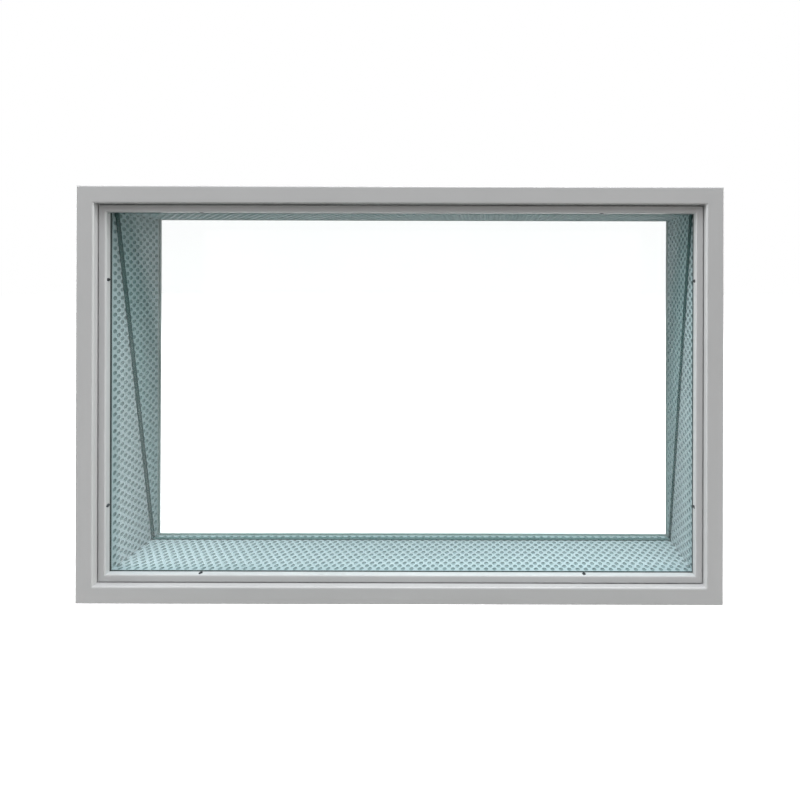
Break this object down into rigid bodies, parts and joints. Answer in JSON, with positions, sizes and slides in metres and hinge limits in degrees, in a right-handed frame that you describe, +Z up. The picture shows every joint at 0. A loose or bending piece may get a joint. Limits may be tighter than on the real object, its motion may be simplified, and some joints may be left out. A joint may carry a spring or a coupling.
{
  "type": "observation window",
  "caption": "Fixed sound-insulating observation window: folded metal frame, beads screwed on from the front, perforated reveal liners and a sloping middle pane.",
  "frame": {"origin": "centre of the sill's underside, in plan the centre of the frame", "axes": "+X along the sill to the right seen from the front, +Y from the beaded front to the rear, +Z up"},
  "size_m": [1.24, 0.166, 0.8],
  "materials": {
    "frame_paint": "satin silver-grey powder coat on folded steel",
    "bead_paint": "satin silver-grey powder coat on folded steel",
    "liner_paint": "satin grey coat on perforated steel sheet",
    "absorber_felt": "dark grey felt, matt",
    "pane_glass": "clear float glass with a faint green cast",
    "gasket_rubber": "dark grey glazing rubber, matt",
    "bedding_silicone": "pale grey silicone strip, satin",
    "seal_silicone": "dark grey-green silicone channel, satin"
  },
  "bodies": {
    "root": {"frame_sill": "frame_paint", "frame_head": "frame_paint", "frame_left": "frame_paint", "frame_right": "frame_paint", "bead_sill": "bead_paint", "bead_head": "bead_paint", "bead_left": "bead_paint", "bead_right": "bead_paint", "liner_sill": "liner_paint", "liner_head": "liner_paint", "liner_left": "liner_paint", "liner_right": "liner_paint", "absorber_sill": "absorber_felt", "absorber_head": "absorber_felt", "absorber_left": "absorber_felt", "absorber_right": "absorber_felt", "front_pane": "pane_glass", "middle_pane": "pane_glass", "rear_pane": "pane_glass", "front_outer_gasket": "gasket_rubber", "front_inner_gasket": "gasket_rubber", "rear_inner_gasket": "bedding_silicone", "rear_outer_gasket": "bedding_silicone", "middle_seal_sill": "seal_silicone", "middle_seal_head": "seal_silicone", "middle_seal_left": "seal_silicone", "middle_seal_right": "seal_silicone", "front_setting_blocks": "gasket_rubber", "rear_setting_blocks": "gasket_rubber"}
  },
  "joints": []
}
